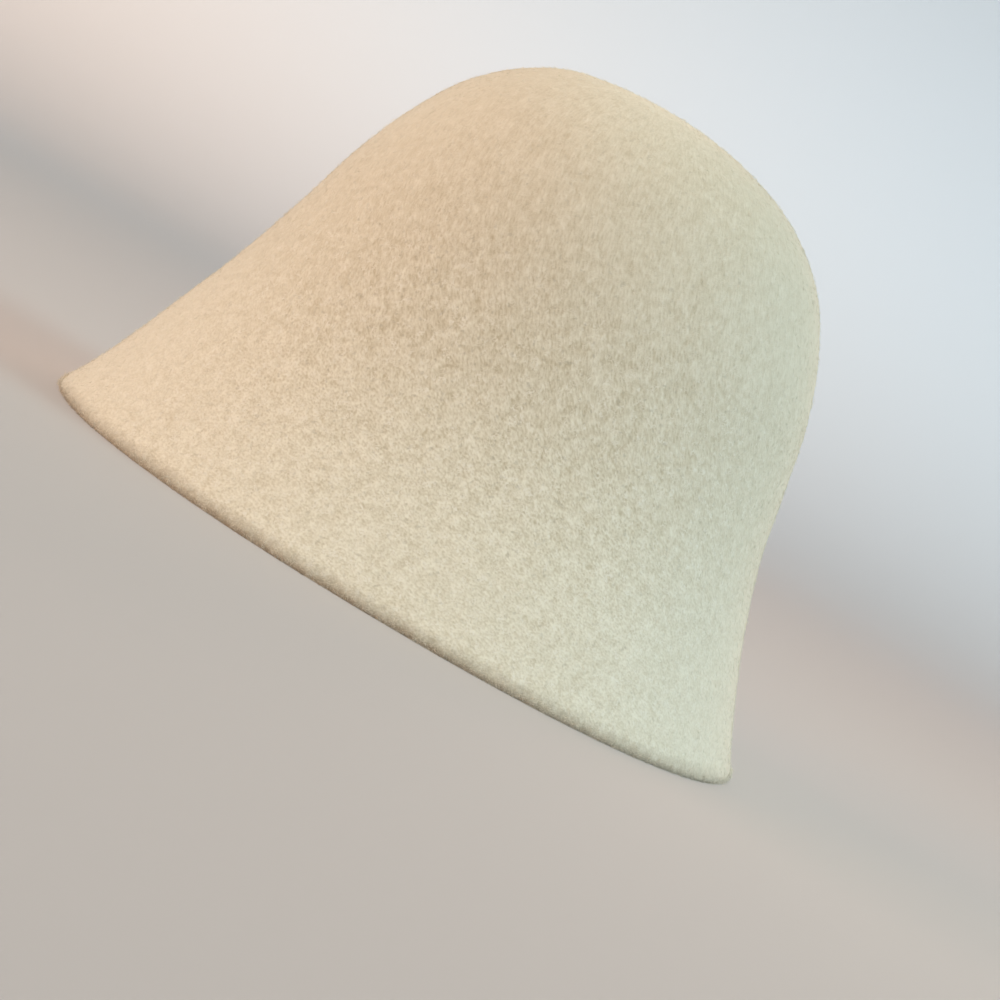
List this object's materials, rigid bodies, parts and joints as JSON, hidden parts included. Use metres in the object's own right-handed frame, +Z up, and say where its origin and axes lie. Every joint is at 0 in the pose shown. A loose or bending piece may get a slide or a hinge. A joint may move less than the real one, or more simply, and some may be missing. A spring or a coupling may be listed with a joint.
{
  "type": "wool felt bucket hat",
  "caption": "Soft bucket hat blocked in one piece from thick felt, with a rounded crown that flares into a plain downturned brim.",
  "frame": {"origin": "middle of the rim, on the surface that the hat stands on", "axes": "+Z up from the rim to the top of the crown, -Y to the front of the brim, +X to the wearer's left"},
  "size_m": [0.261, 0.285, 0.198],
  "materials": {
    "wool_felt": "matte cream wool felt with a short brushed nap"
  },
  "bodies": {
    "root": {"felt_body": "wool_felt"}
  },
  "joints": []
}
